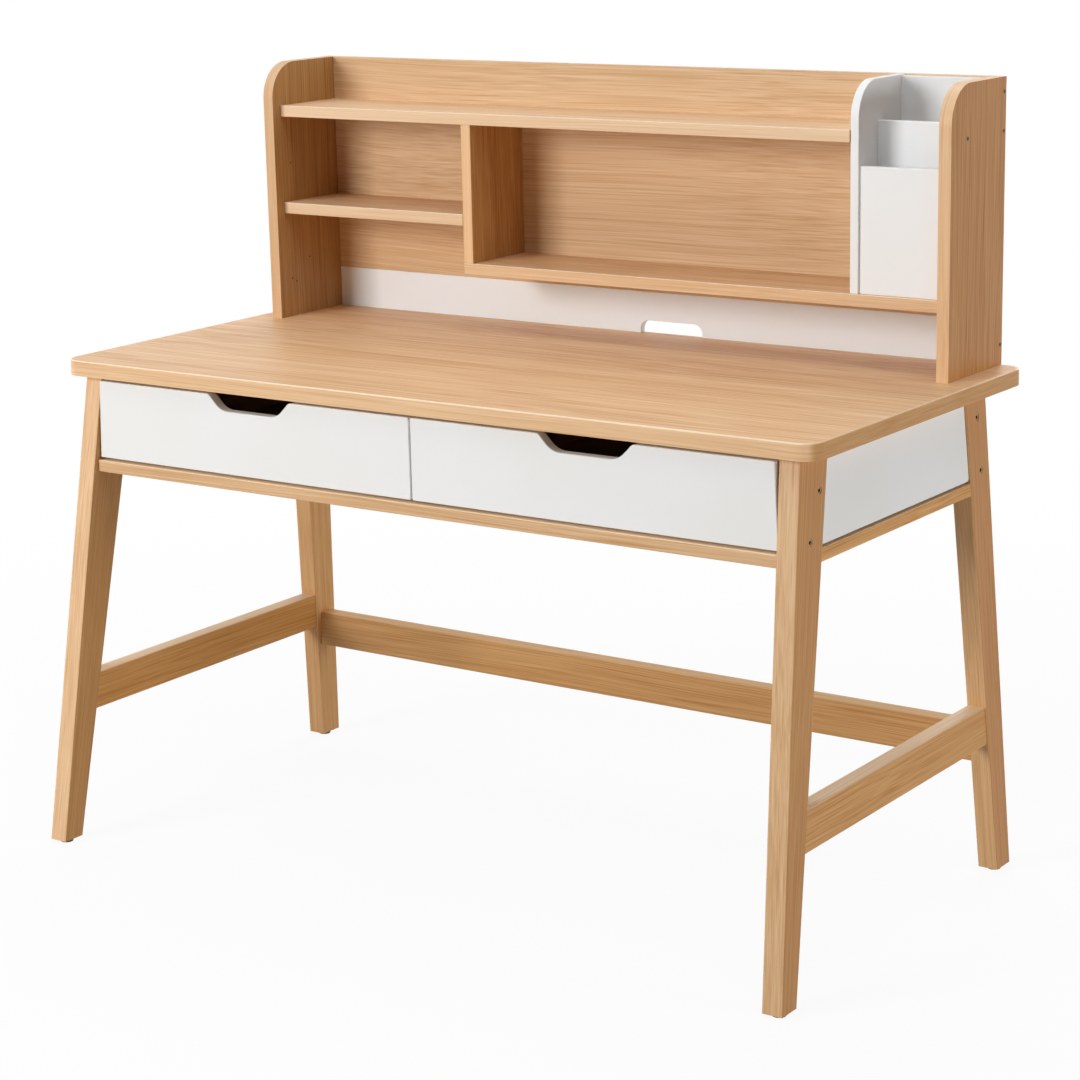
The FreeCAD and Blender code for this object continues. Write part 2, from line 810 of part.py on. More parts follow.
def make_case_bolts():
    bolts = []
    for place, spots in LEG_BOLTS.items():
        for n, (y, z) in enumerate(spots):
            seat = f"({frame_outer(z)} - bolt_head_high - bolt_sink)"
            bolts.append(make_bolt(f"{place}_bolt_{n}", X, seat, (None, y, z), f"{seat} - bolt_end"))
    right = doc.addObject("Part::Compound", "case_bolts_right")
    right.Links = bolts
    left = doc.addObject("Part::Mirroring", "case_bolts_left_hand")
    left.Source = right
    left.Normal = X
    group([right, left], "case_bolts")


def make_hutch_bolts():
    seat = "frame_top + bolt_head_high + bolt_sink"
    length = f"desk_high - ({seat}) + hutch_bolt_bite"
    bolts = [make_bolt(f"hutch_bolt_{side}", -Z, seat, spot, length) for side, spot in HUTCH_BOLTS.items()]
    group(bolts, "hutch_bolts")


def make_everything():
    make_desktop()
    make_leg("front", front_leg_face, front_leg_back)
    make_leg("rear", rear_leg_face, rear_leg_back)
    make_glides()
    make_rails()
    make_stretchers()
    make_side_panels()
    make_case()
    make_drawer_front()
    make_drawer_box()
    make_slides()
    make_hutch_sides()
    make_hutch_backs()
    make_shelves()
    make_pockets()
    make_case_bolts()
    make_hutch_bolts()
    doc.recompute()


def check_everything():
    """Stops the build if any object failed or any piece is not a sound solid."""
    for item in doc.Objects:
        if "Invalid" in item.State or "Error" in item.State:
            raise RuntimeError(f"{item.Name} failed: {item.State}")
    for piece in PIECES:
        if piece.Shape.isNull() or not piece.Shape.isValid() or not piece.Shape.Solids:
            raise RuntimeError(f"{piece.Label} is not a sound solid")


make_everything()
check_everything()
os.makedirs("parts", exist_ok=True)
for piece in PIECES:
    piece.Shape.exportStep(f"parts/{piece.Label}.step")
print(len(PIECES), "pieces")
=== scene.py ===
import math
import bmesh
import bpy
from mathutils import Matrix, Vector


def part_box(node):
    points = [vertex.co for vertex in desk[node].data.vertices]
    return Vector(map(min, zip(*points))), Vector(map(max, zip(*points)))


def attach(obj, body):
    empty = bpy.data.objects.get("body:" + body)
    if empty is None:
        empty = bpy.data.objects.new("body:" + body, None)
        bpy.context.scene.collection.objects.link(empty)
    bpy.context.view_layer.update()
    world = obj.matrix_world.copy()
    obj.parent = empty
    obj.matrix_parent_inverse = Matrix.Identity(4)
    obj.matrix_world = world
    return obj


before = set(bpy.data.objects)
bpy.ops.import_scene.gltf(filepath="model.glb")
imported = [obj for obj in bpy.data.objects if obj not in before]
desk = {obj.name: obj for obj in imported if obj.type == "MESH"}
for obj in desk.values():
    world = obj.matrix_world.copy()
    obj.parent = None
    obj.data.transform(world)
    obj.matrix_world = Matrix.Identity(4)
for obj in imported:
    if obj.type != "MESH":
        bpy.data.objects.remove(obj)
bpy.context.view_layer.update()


# ---------------------------------------------------------------- legs
# Four tapered legs of light oak, sawn from solid planks 30 mm thick, their grain running down
# the leg. Each is planed, its long corners rounded over, and finished with clear satin lacquer.

OAK_STREAK = (0.60, 0.326, 0.140)
OAK = (0.775, 0.490, 0.265)
OAK_PALE = (0.890, 0.622, 0.385)
OAK_PORE = (0.68, 0.47, 0.29)
# painted shade on the faces that look left or right
OAK_SIDE_SHADE = (0.65, 0.49, 0.29)
# painted highlight on the arrises that face up
ARRIS_HIGHLIGHT = (1.0, 0.86, 0.68)
# painted light on the top faces of bars
TOP_FACE_LIGHT = (1.0, 0.80, 0.56)
PALE_BAND = (0.99, 0.80, 0.57)

# what the grain is made of: features to the metre across it and along it, octaves and twist;
# and the share that each layer has in the light and dark of the wood
GRAIN = {"bands": (9.0, 0.5, 1.0, 0.2), "streaks": (120.0, 1.0, 2.0, 0.1),
         "lines": (430.0, 2.2, 1.0, 0.0), "fibres": (700.0, 4.5, 1.0, 0.0),
         "pores": (470.0, 6.0, 1.0, 0.0)}
FIGURE = {"bands": 0.16, "streaks": 0.22, "lines": 0.36, "fibres": 0.26}
TONES_FROM, TONES_TO = 0.385, 0.615
SWAY = 0.035          # the most that the grain wanders from a straight line, in metres
TREE_WIDE = 7.0       # pieces are cut from the pattern up to this far apart, in metres
EDGE_SQUEEZE = 0.03   # the scale at which the pattern is measured across a board's edge
EDGE_CALM = 0.45      # the share of the contrast that an edge has
PORES_FROM, PORES_FULL, PORES_DEEP = 0.55, 0.70, 0.34
PIECE_SHADES = (0.97, 1.03)
# how squarely a face looks along a board's thickness: up to this on its edges, and from that
# on its broad faces
NARROW, BROAD = 0.55, 0.80
# how squarely a face looks one way where a tone starts, and where it is full; the tone on faces
# that look left or right is painted shade, and the pale tones on upward arrises and on the tops of
# bars are painted highlights
SIDE_SHADE_ON, FRONT_ON, LIT_TOP_ON = (0.55, 0.90), (-0.60, -0.90), (0.90, 0.99)
HIGHLIGHT_FROM_SIDE, HIGHLIGHT_FROM_TOP, HIGHLIGHT_AT_END = (0.25, 0.55), (0.99, 0.90), (0.15, 0.60)


def wire(node, inputs):
    """Links or sets the inputs of a node, each by its name or number."""
    for key, given in inputs.items():
        socket = node.inputs[key]
        if isinstance(given, bpy.types.NodeSocket):
            node.id_data.links.new(given, socket)
        elif socket.type == "RGBA":
            socket.default_value = (*given, 1)
        else:
            socket.default_value = given


def nodes_in(tree):
    """Empties a node tree, and gives the call that adds a node with its inputs and settings."""
    tree.nodes.clear()

    def add(kind, inputs, **settings):
        node = tree.nodes.new("ShaderNode" + kind)
        for key, setting in settings.items():
            setattr(node, key, setting)
        wire(node, inputs)
        return node

    return add


def finish_named(name):
    """A new finish, its shader, and the call that adds nodes before it."""
    finish = bpy.data.materials.new(name)
    finish.use_nodes = True
    add = nodes_in(finish.node_tree)
    shader = add("BsdfPrincipled", {})
    add("OutputMaterial", {"Surface": shader.outputs["BSDF"]})
    return finish, shader, add


def math_of(add, how, a, b=0.0):
    """One step of arithmetic on one value or two."""
    return add("Math", {0: a, 1: b}, operation=how).outputs[0]


def between(add, a, start, end, low=0.0, high=1.0):
    """A value that goes smoothly from low to high as another goes from start to end."""
    step = {0: a, 1: start, 2: end, 3: low, 4: high}
    return add("MapRange", step, interpolation_type="SMOOTHSTEP").outputs[0]


def by_noise(add, noise, low=0.0, high=1.0):
    """A value from low to high that follows a noise over most of the noise's range."""
    return between(add, noise, 0.3, 0.7, low, high)


def tinted(add, how, amount, a, b):
    """Two colours mixed by an amount; each of the three is a node's output or a plain value."""
    return add("Mix", {0: amount, 6: a, 7: b}, data_type="RGBA", blend_type=how).outputs[2]


def relief(add, height, strength, deep):
    """The fine relief of a surface, as deep as given in metres."""
    return add("Bump", {"Height": height, "Strength": strength, "Distance": deep}).outputs[0]


def drawn_out(add, spot, along, across, lengthwise, octaves=1.0, twist=0.0, rough=0.6):
    """Noise drawn out along one axis: so many features to the metre across it and along it."""
    scale = tuple(lengthwise if axis == along else across for axis in "XYZ")
    stretched = add("Mapping", {"Vector": spot, "Scale": scale}).outputs[0]
    return add("TexNoise", {"Vector": stretched, "Scale": 1.0, "Detail": octaves,
                            "Roughness": rough, "Distortion": twist})


def own_place(add):
    """Moves the pattern of each piece to its own part of the tree."""
    drawn = add("ObjectInfo", {}).outputs["Random"]
    apart = add("CombineXYZ", {"X": drawn, "Y": drawn, "Z": drawn}).outputs[0]
    return add("VectorMath", {0: apart, "Scale": TREE_WIDE}, operation="SCALE").outputs[0]


def place_in_wood(add, along, thick, looks, lean):
    """Where a point lies in the pattern. On a board's narrow faces the lines follow them, as an
    edge band's do, and in a leg they lean with it."""
    point = add("TexCoord", {}).outputs["Object"]
    spot = add("VectorMath", {0: point, 1: own_place(add)}, operation="ADD").outputs[0]
    if thick:
        parts = add("SeparateXYZ", {0: spot})
        wide = "XYZ".replace(along, "").replace(thick, "")
        squeeze = between(add, looks[thick], NARROW, BROAD, EDGE_SQUEEZE, 1.0)
        given = {axis: parts.outputs[axis] for axis in "XYZ"}
        given[wide] = math_of(add, "MULTIPLY", parts.outputs[wide], squeeze)
        spot = add("CombineXYZ", given).outputs[0]
    if lean:
        parts = add("SeparateXYZ", {0: spot})
        given = {"Z": parts.outputs["Z"]}
        for axis, slope in zip("XY", lean):
            shift = math_of(add, "MULTIPLY", parts.outputs["Z"], slope)
            given[axis] = math_of(add, "SUBTRACT", parts.outputs[axis], shift)
        spot = add("CombineXYZ", given).outputs[0]
    return spot


def grain_layers(add, spot, along):
    """The layers of the grain, all swaying together."""
    sway = drawn_out(add, spot, along, 2.6, 1.1).outputs["Color"]
    drift = add("VectorMath", {0: sway, 1: (SWAY, SWAY, SWAY), 2: spot}, operation="MULTIPLY_ADD")
    return {layer: drawn_out(add, drift.outputs[0], along, *sizes).outputs["Fac"]
            for layer, sizes in GRAIN.items()}


def figured(add, layers, spread, pores):
    """The light and dark of the wood, with its pores."""
    parts = [math_of(add, "MULTIPLY", layers[layer], share) for layer, share in FIGURE.items()]
    figure = parts[0]
    for part in parts[1:]:
        figure = math_of(add, "ADD", figure, part)
    off_middle = math_of(add, "SUBTRACT", figure, 0.5)
    figure = add("Math", {0: off_middle, 1: spread, 2: 0.5}, operation="MULTIPLY_ADD").outputs[0]
    tone = add("ValToRGB", {"Fac": figure})
    ramp = tone.color_ramp
    ramp.elements[0].position, ramp.elements[0].color = TONES_FROM, (*OAK_STREAK, 1)
    ramp.elements[1].position, ramp.elements[1].color = TONES_TO, (*OAK_PALE, 1)
    middle = ramp.elements.new((TONES_FROM + TONES_TO) / 2)
    middle.color = (*OAK, 1)
    return tinted(add, "MULTIPLY", pores, tone.outputs[0], OAK_PORE)


def oak(name, along, thick=None, lit_edge=0.15, tint=(1.0, 1.0, 1.0), side=OAK_SIDE_SHADE, lean=None,
        lively=1.0, pale_band=0.0, lit_top=0.0, gloss=0.28):
    """Clear-lacquered oak with its grain along one axis. thick is the axis of a board's
    thickness, and lean the slope of a leg across and back. side is the tone painted on faces that
    look left or right: painted shade, and on the rear left leg painted light. lit_edge, pale_band
    and lit_top say how pale the painted highlight on upward arrises, the band on a shelf's front
    edge and the painted light on a bar's top are."""
    finish, shader, add = finish_named(name)
    face = add("SeparateXYZ", {0: add("TexCoord", {}).outputs["Normal"]}).outputs
    looks = {axis: math_of(add, "ABSOLUTE", face[axis]) for axis in "XYZ"}
    layers = grain_layers(add, place_in_wood(add, along, thick, looks, lean), along)
    spread = lively
    if thick:
        spread = between(add, looks[thick], NARROW, BROAD, EDGE_CALM * lively, lively)
    pores = between(add, layers["pores"], PORES_FROM, PORES_FULL, 0.0, PORES_DEEP)
    pores = math_of(add, "MULTIPLY", pores, spread)
    colour = figured(add, layers, spread, pores)

    # painted shade: faces that look left or right take the darker side tone
    colour = tinted(add, "MULTIPLY", between(add, looks["X"], *SIDE_SHADE_ON), colour, side)
    if pale_band:
        front_edge = math_of(add, "MULTIPLY", between(add, face["Y"], *FRONT_ON), pale_band)
        colour = tinted(add, "MIX", front_edge, colour, PALE_BAND)
    # painted highlight: arrises that face up are paled, less so on the ends, where the light from
    # the front catches them
    arris_highlight = math_of(add, "MULTIPLY", between(add, face["Z"], *HIGHLIGHT_FROM_SIDE),
                    between(add, face["Z"], *HIGHLIGHT_FROM_TOP))
    arris_highlight = math_of(add, "MULTIPLY", arris_highlight, between(add, looks["X"], *HIGHLIGHT_AT_END, 1.0, 0.25))
    colour = tinted(add, "MIX", math_of(add, "MULTIPLY", arris_highlight, lit_edge), colour, ARRIS_HIGHLIGHT)
    # painted light: the top faces of bars are paled, as if lit from above
    if lit_top:
        lit_top_face = math_of(add, "MULTIPLY", between(add, face["Z"], *LIT_TOP_ON), lit_top)
        colour = tinted(add, "MIX", lit_top_face, colour, TOP_FACE_LIGHT)
    drawn = add("ObjectInfo", {}).outputs["Random"]
    darkest, lightest = PIECE_SHADES
    shade = add("MapRange", {0: drawn, 3: darkest, 4: lightest}).outputs[0]
    shade = add("CombineColor", {0: shade, 1: shade, 2: shade}).outputs[0]
    colour = tinted(add, "MULTIPLY", 1.0, tinted(add, "MULTIPLY", 1.0, colour, shade), tint)

    rough = math_of(add, "ADD", by_noise(add, layers["lines"], 0.48, 0.38),
                    math_of(add, "MULTIPLY", pores, 0.3))
    height = math_of(add, "SUBTRACT", math_of(add, "MULTIPLY", layers["lines"], 0.5), pores)
    wire(shader, {"Base Color": colour, "Roughness": rough, "Specular IOR Level": gloss,
                  "Normal": relief(add, height, 0.25, 0.0004)})
    return finish


def finish_in(node, finish):
    """Puts a finish on a piece of the frame."""
    for slot in desk[node].material_slots:
        slot.material = finish


# the tint of each leg's wood, darker on the rear legs as painted shade under the desk, and the
# tone painted on its sides: painted shade, and on the rear left leg painted light
PLANKS = {"front_right": ((0.93, 0.92, 0.88), (0.75, 0.58, 0.35)),
          "front_left": ((1.02, 1.02, 1.02), (0.70, 0.56, 0.34)),
          "rear_right": ((0.99, 0.94, 0.84), (0.70, 0.54, 0.33)),
          "rear_left": ((0.84, 0.74, 0.58), (1.12, 1.08, 0.92))}
RAKE = {"front": 0.170, "rear": -0.070}
SPLAY = {"right": -0.047, "left": 0.047}
for end in ("front", "rear"):
    for hand in ("right", "left"):
        tint, side = PLANKS[f"{end}_{hand}"]
        plank = oak(f"oak_leg_{end}_{hand}", "Z", tint=tint, side=side,
                    lean=(SPLAY[hand], RAKE[end]), lively=0.6)
        finish_in(f"leg_{end}_{hand}", plank)


# ---------------------------------------------------------------- rails and stretchers
# Oak bars between the legs, glued and dowelled: a front rail under the drawers, a rail under
# each side panel, a deep rear apron, and a low stretcher on three sides. Arrises are broken.

WELD_WITHIN = 0.00001
FLAT_WITHIN = math.radians(0.3)
SHARP_FROM = math.radians(28)
FACE_WEIGHT = 90

# smooth shading of faces and edges, by which the broken arrises look round
smooth = bpy.data.node_groups.new("smooth_faces", "GeometryNodeTree")
for way in ("INPUT", "OUTPUT"):
    smooth.interface.new_socket("Geometry", in_out=way, socket_type="NodeSocketGeometry")
shape = smooth.nodes.new("NodeGroupInput").outputs[0]
for domain in ("FACE", "EDGE"):
    soften = smooth.nodes.new("GeometryNodeSetShadeSmooth")
    soften.domain = domain
    smooth.links.new(shape, soften.inputs["Geometry"])
    shape = soften.outputs[0]
smooth.links.new(shape, smooth.nodes.new("NodeGroupOutput").inputs[0])


def break_arrises(node, width, steps=3):
    """Rounds the sharp edges of a sawn board as sanding does."""
    piece = desk[node]
    weld = piece.modifiers.new("weld", "WELD")
    weld.merge_threshold = WELD_WITHIN
    flat = piece.modifiers.new("flat_faces", "DECIMATE")
    flat.decimate_type = "DISSOLVE"
    flat.angle_limit = FLAT_WITHIN
    edge = piece.modifiers.new("arrises", "BEVEL")
    edge.width = width
    edge.segments = steps
    edge.limit_method = "ANGLE"
    edge.angle_limit = SHARP_FROM
    edge.miter_outer = "MITER_ARC"
    soft = piece.modifiers.new("smooth", "NODES")
    soft.node_group = smooth
    even = piece.modifiers.new("even_light", "WEIGHTED_NORMAL")
    even.weight = FACE_WEIGHT


BAR_ARRIS = 0.0006
# bars get the painted highlight on their upward arrises and painted light on their top faces
BAR_LOOK = {"lit_edge": 0.5, "lively": 0.8, "lit_top": 0.5, "gloss": 0.12}
# the rear stretcher and the rear apron are tinted darker: painted shade under the desk
for node, tint in (("front_rail", (1.0, 1.0, 1.0)), ("rear_stretcher", (0.84, 0.71, 0.51)),
                   ("rear_apron", (0.77, 0.67, 0.53))):
    finish_in(node, oak(f"oak_{node}", "X", tint=tint, **BAR_LOOK))
    break_arrises(node, BAR_ARRIS)
# the side bars' faces that look left or right carry painted shade
for hand, side in (("right", (0.88, 0.73, 0.48)), ("left", (0.84, 0.65, 0.36))):
    side_bar = oak(f"oak_side_bars_{hand}", "Y", side=side, **BAR_LOOK)
    for node in (f"side_rail_{hand}", f"side_stretcher_{hand}"):
        finish_in(node, side_bar)
        break_arrises(node, BAR_ARRIS)


# ---------------------------------------------------------------- side panels
# White lacquered boards that close the drawer case at each end, let in between the legs with
# a thin shadow gap all round and their lower corners rounded.

LACQUER = (0.915, 0.914, 0.905)
LACQUER_WARMTH = (0.985, 0.975, 0.955)
# painted highlight on the edges of the lacquered boards
LACQUER_EDGE_HIGHLIGHT = (0.95, 0.95, 0.945)


def noise_in(add, scale, octaves, rough=0.6):
    """Even noise all through a material, so many features to the metre."""
    return add("TexNoise", {"Vector": add("TexCoord", {}).outputs["Object"], "Scale": scale,
                            "Detail": octaves, "Roughness": rough}).outputs["Fac"]


def lacquer(name, colour=LACQUER):
    """Matt white lacquer sprayed on board: a faint orange peel, and a paler tone on the edges that
    is a painted highlight.
    """
    finish, shader, add = finish_named(name)
    peel = noise_in(add, 420.0, 2.0, 0.5)
    cloud = noise_in(add, 3.2, 2.0, 0.5)
    warm = tuple(part * tone for part, tone in zip(colour, LACQUER_WARMTH))
    paint = tinted(add, "MIX", between(add, cloud, 0.35, 0.65), colour, warm)
    normal = add("TexCoord", {}).outputs["Normal"]
    facing = add("VectorMath", {0: normal}, operation="ABSOLUTE").outputs[0]
    looks = add("SeparateXYZ", {0: facing}).outputs
    squarest = math_of(add, "MAXIMUM", looks["X"], math_of(add, "MAXIMUM", looks["Y"], looks["Z"]))
    # painted highlight: the edges are paled
    edge_highlight = between(add, squarest, 0.985, 0.86, 0.0, 0.6)
    wire(shader, {"Base Color": tinted(add, "MIX", edge_highlight, paint, LACQUER_EDGE_HIGHLIGHT),
                  "Roughness": by_noise(add, peel, 0.46, 0.56),
                  "Specular IOR Level": 0.35, "Normal": relief(add, peel, 0.05, 0.0003)})
    return finish


white_lacquer = lacquer("white_lacquer")
for hand in ("right", "left"):
    finish_in(f"side_panel_{hand}", white_lacquer)
    break_arrises(f"side_panel_{hand}", 0.0010)


# ---------------------------------------------------------------- foot glides
# Round glides of dark moulded plastic nailed under the feet, slightly tapered and scuffed.

GLIDE_DARK, GLIDE_SCUFFED = (0.035, 0.027, 0.022), (0.085, 0.070, 0.058)

glide_plastic, shader, add = finish_named("dark_glide_plastic")
scuff = noise_in(add, 260.0, 3.0)
scuffed = between(add, scuff, 0.45, 0.75)
wire(shader, {"Base Color": tinted(add, "MIX", scuffed, GLIDE_DARK, GLIDE_SCUFFED),
              "Roughness": by_noise(add, scuff, 0.5, 0.7),
              "Normal": relief(add, scuff, 0.2, 0.0002)})
finish_in("foot_glides", glide_plastic)


# ---------------------------------------------------------------- drawer case
# Wood-faced boards under the desktop: a side behind each leg frame and a partition between
# the drawers, tinted dark as painted shade for the dark inside the case; they show only when a
# drawer is open.

oak_case = oak("oak_case_boards", "Y", tint=(0.62, 0.62, 0.62))
for node in ("case_side_right", "case_side_left", "centre_partition"):
    finish_in(node, oak_case)


# ---------------------------------------------------------------- frame bolts
# Socket-head bolts of bronzed steel, sunk in the legs, that pull the leg frames to the case.

BRONZE_DARK, BRONZE_LIGHT = (0.44, 0.25, 0.11), (0.56, 0.34, 0.16)
# painted shade: the hollow socket of each bolt head is painted near-black, fading out between two
# distances from its middle
SOCKET_SHADE = (0.030, 0.018, 0.010)
SOCKET_SHADE_EDGE = (0.0030, 0.0026)    # from a bolt's middle, in metres
# the bolts' places, inward from the desktop's front or rear edge and up from the rails' top
BOLT_ROWS = {"front": ((0.036, 0.014), (0.065, 0.077)), "rear": ((0.088, 0.014), (0.096, 0.092))}

desk_front, desk_rear = (corner[1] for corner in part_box("desktop"))
rail_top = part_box("side_rail_right")[1][2]

bronzed_steel, shader, add = finish_named("bronzed_steel")
brown = noise_in(add, 500.0, 3.0)
head_tone = tinted(add, "MIX", brown, BRONZE_DARK, BRONZE_LIGHT)
point = add("SeparateXYZ", {0: add("TexCoord", {}).outputs["Object"]}).outputs
side_view = add("CombineXYZ", {"Y": point["Y"], "Z": point["Z"]}).outputs[0]
# painted shade in the sockets of the case bolts
socket_shade = 0.0
for end, row in BOLT_ROWS.items():
    for inward, rise in row:
        middle = desk_front + inward if end == "front" else desk_rear - inward
        apart = add("VectorMath", {0: side_view, 1: (0.0, middle, rail_top + rise)},
                    operation="DISTANCE").outputs["Value"]
        socket_shade = math_of(add, "MAXIMUM", between(add, apart, *SOCKET_SHADE_EDGE), socket_shade)
wire(shader, {"Base Color": tinted(add, "MIX", socket_shade, head_tone, SOCKET_SHADE), "Metallic": 0.1,
              "Roughness": by_noise(add, brown, 0.55, 0.70)})
finish_in("case_bolts", bronzed_steel)


# ---------------------------------------------------------------- desktop
# One oak-faced board 24 mm thick with rounded corners and a rounded top edge, its grain along
# the desk. It lies on the leg frames and the case and is screwed down from below.

# a strong painted highlight along the top front edge, and painted shade on the ends
oak_desktop = oak("oak_desktop", "X", "Z", lit_edge=0.6, tint=(1.07, 1.09, 1.12),
                  side=(0.70, 0.57, 0.36))
finish_in("desktop", oak_desktop)


# ---------------------------------------------------------------- drawer slides
# Three-member ball-bearing slides, rolled from zinc-plated steel strip, on each side of both
# drawers. The case member is screwed to the case and the drawer member to the drawer box.

ZINC_DARK, ZINC_LIGHT = (0.60, 0.61, 0.62), (0.68, 0.69, 0.70)

zinc, shader, add = finish_named("zinc_plated_steel")
point = add("TexCoord", {}).outputs["Object"]
rolled = drawn_out(add, point, "Y", 900.0, 12.0, 2.0, rough=0.5).outputs["Fac"]
spangle = add("TexVoronoi", {"Vector": point, "Scale": 160.0}).outputs["Color"]
wire(shader, {"Base Color": tinted(add, "MIX", spangle, ZINC_DARK, ZINC_LIGHT), "Metallic": 1.0,
              "Roughness": by_noise(add, rolled, 0.26, 0.42),
              "Normal": relief(add, rolled, 0.08, 0.0002)})
for member in ("case", "middle", "drawer"):
    for hand in ("right", "left"):
        for place_on in ("outer", "inner"):
            finish_in(f"slide_{member}_member_{hand}_{place_on}", zinc)


# ---------------------------------------------------------------- drawer boxes
# Boxes of birch plywood, 12 mm thick, whose plies show on the top edges. A thin hardboard
# bottom is held in a groove all round.

BIRCH_DARK, BIRCH_LIGHT = (0.70, 0.49, 0.29), (0.83, 0.63, 0.41)
GLUE_LINE, PLY_EDGE = (0.46, 0.29, 0.15), (0.80, 0.60, 0.38)
PLY_WAVES = 118.0     # the wave texture's scale for a light and a dark ply every 2.7 mm


def birch_ply(name, along, thick):
    """Plain birch plywood: a face veneer with its grain along one axis, and plies stacked
    through the thickness that show on the upper edge."""
    finish, shader, add = finish_named(name)
    place = add("TexCoord", {}).outputs
    veneer = drawn_out(add, place["Object"], along, 60.0, 3.0, 4.0, 0.4).outputs["Fac"]
    face_tone = tinted(add, "MIX", by_noise(add, veneer), BIRCH_DARK, BIRCH_LIGHT)
    stack = add("TexWave", {"Vector": place["Object"], "Scale": PLY_WAVES, "Distortion": 0.0},
                wave_type="BANDS", bands_direction=thick).outputs["Fac"]
    ply_tone = tinted(add, "MIX", between(add, stack, 0.35, 0.65), GLUE_LINE, PLY_EDGE)
    up = between(add, add("SeparateXYZ", {0: place["Normal"]}).outputs["Z"], 0.6, 0.9)
    wire(shader, {"Base Color": tinted(add, "MIX", up, face_tone, ply_tone),
                  "Roughness": by_noise(add, veneer, 0.55, 0.68),
                  "Normal": relief(add, veneer, 0.12, 0.0003)})
    return finish


BOARD_DARK, BOARD_LIGHT = (0.50, 0.34, 0.20), (0.67, 0.49, 0.31)
BOARD_CLOUD = (0.90, 0.88, 0.85)

hardboard, shader, add = finish_named("drawer_hardboard")
flecks = noise_in(add, 700.0, 4.0, 0.7)
pressed = between(add, noise_in(add, 24.0, 3.0), 0.35, 0.65)
board_tone = tinted(add, "MIX", by_noise(add, flecks), BOARD_DARK, BOARD_LIGHT)
wire(shader, {"Base Color": tinted(add, "MULTIPLY", pressed, board_tone, BOARD_CLOUD),
              "Roughness": by_noise(add, flecks, 0.5, 0.62),
              "Normal": relief(add, flecks, 0.08, 0.0002)})

side_ply = birch_ply("birch_plywood_sides", "Y", "X")
back_ply = birch_ply("birch_plywood_backs", "X", "Y")
for hand in ("right", "left"):
    for node, ply in ((f"drawer_side_outer_{hand}", side_ply),
                      (f"drawer_side_inner_{hand}", side_ply), (f"drawer_back_{hand}", back_ply)):
        finish_in(node, ply)
        break_arrises(node, 0.0005, 2)
    finish_in(f"drawer_bottom_{hand}", hardboard)


# ---------------------------------------------------------------- drawer fronts
# White lacquered fronts with a finger cut-out in the top edge instead of a handle, drawn on to
# the boxes by cams from inside.

for hand in ("right", "left"):
    finish_in(f"drawer_front_{hand}", white_lacquer)


# ---------------------------------------------------------------- hutch uprights
# Oak-faced boards with their grain upright: two sides with a rounded top corner in front,
# bolted down from under the desktop, and a divider that stands on the low shelf.

# the left side is tinted darker and, with the divider, toned dark on faces that look left or
# right: painted shade in the bays; the right side's outer face has painted shade too
oak_left_side = oak("oak_hutch_left_side", "Z", "X", tint=(0.91, 0.89, 0.87),
                    side=(0.64, 0.55, 0.36))
oak_divider = oak("oak_bay_divider", "Z", "X", tint=(1.04, 1.04, 1.04), side=(0.65, 0.55, 0.36))
oak_right_side = oak("oak_hutch_right_side", "Z", "X", side=(0.62, 0.455, 0.255))
for node, wood in (("hutch_side_right", oak_right_side), ("hutch_side_left", oak_left_side),
                   ("hutch_bay_divider", oak_divider)):
    finish_in(node, wood)
    break_arrises(node, 0.0012)
finish_in("hutch_bolts", bronzed_steel)


# ---------------------------------------------------------------- hutch shelves and back
# Oak-faced boards with their grain along the desk. The shelves are dowelled between the
# uprights, the top one screwed too, and the upper two have a paler band in front. The back is
# let in between the sides.

SHELF_TINT = (1.0, 1.05, 1.12)
# a strong painted highlight on the shelves' upward front arrises
oak_shelf = oak("oak_shelves", "X", "Z", lit_edge=0.9, tint=SHELF_TINT, pale_band=0.22)
oak_low_shelf = oak("oak_low_shelf", "X", "Z", lit_edge=0.8, tint=SHELF_TINT)
for node, wood in (("hutch_top_shelf", oak_shelf), ("hutch_left_shelf", oak_shelf),
                   ("hutch_low_shelf", oak_low_shelf)):
    finish_in(node, wood)
    break_arrises(node, 0.0011)
oak_back = oak("oak_back_panel", "X", "Y", tint=(0.90, 0.945, 0.98), lively=0.62)
finish_in("hutch_back_panel", oak_back)
break_arrises("hutch_back_panel", 0.0008)


# ---------------------------------------------------------------- paper pockets and strip
# White lacquered boards: a divider, two steps and a back that make upright pockets for paper
# on the right, and the strip with the cable notch under the back panel, in a cooler white.

WHITE_BOARD_ARRIS = 0.0009
white_inside = lacquer("white_lacquer_hutch", (0.915, 0.935, 0.945))
white_strip = lacquer("white_lacquer_strip", (0.900, 0.950, 0.985))
for node, coat in (("pocket_divider", white_inside), ("pocket_front", white_inside),
                   ("pocket_middle", white_inside), ("pocket_back", white_inside),
                   ("hutch_lower_strip", white_strip)):
    finish_in(node, coat)
    break_arrises(node, WHITE_BOARD_ARRIS)


# ---------------------------------------------------------------- fixings
# Small dark screws hold the back panel and the top shelf in the hutch sides, and the slides on
# the drawers. Four steel pins stand on the inside of the left side, and round zinc cams draw
# the drawer fronts on to their boxes.

SCREW_DARK, SCREW_WORN = (0.075, 0.048, 0.028), (0.16, 0.11, 0.07)

dark_screw, shader, add = finish_named("dark_screw_steel")
worn = noise_in(add, 900.0, 2.0)
wire(shader, {"Base Color": tinted(add, "MIX", between(add, worn, 0.4, 0.7), SCREW_DARK,
                                   SCREW_WORN),
              "Roughness": by_noise(add, worn, 0.35, 0.55), "Metallic": 0.5,
              "Normal": relief(add, worn, 0.1, 0.0001)})

